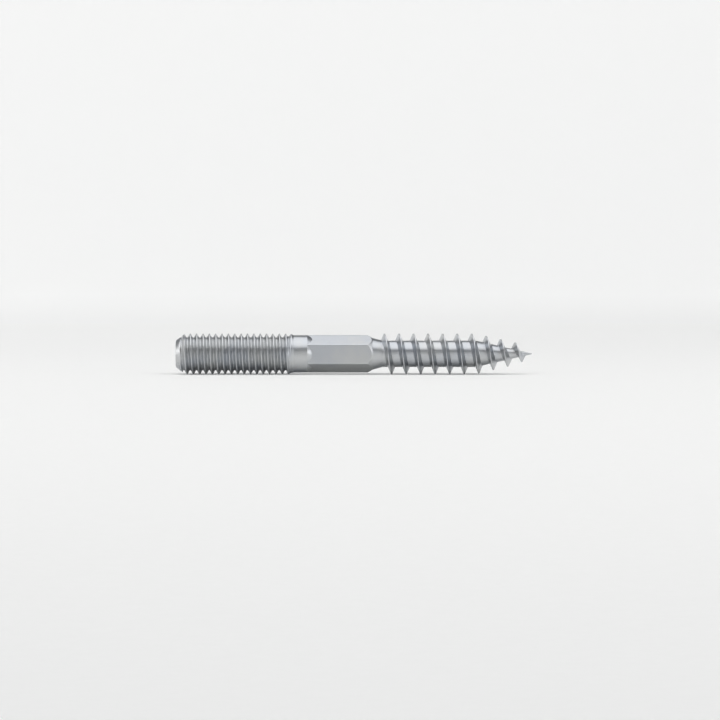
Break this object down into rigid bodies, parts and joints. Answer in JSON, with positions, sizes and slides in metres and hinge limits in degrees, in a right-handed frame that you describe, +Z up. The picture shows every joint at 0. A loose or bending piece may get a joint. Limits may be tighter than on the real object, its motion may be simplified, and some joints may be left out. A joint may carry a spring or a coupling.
{
  "type": "hanger bolt",
  "caption": "Double-ended hanger bolt: a machine thread with a lobed driver socket, a short round shank and a pressed hexagon, then a coarse wood thread that runs to a point.",
  "frame": {"origin": "centre of the machine end face, on the bolt's axis, at the mouth of the driver socket", "axes": "+X along the axis to the wood point, +Z up with a corner of the hexagon on top, +Y away from the drawing's viewer. The bolt lies level, with its threads on the floor at z = -4 mm."},
  "size_m": [0.07, 0.008, 0.008],
  "materials": {
    "zinc_plated_steel": "bright zinc plating over cold-formed steel"
  },
  "bodies": {
    "root": {"hanger_bolt": "zinc_plated_steel"}
  },
  "joints": []
}
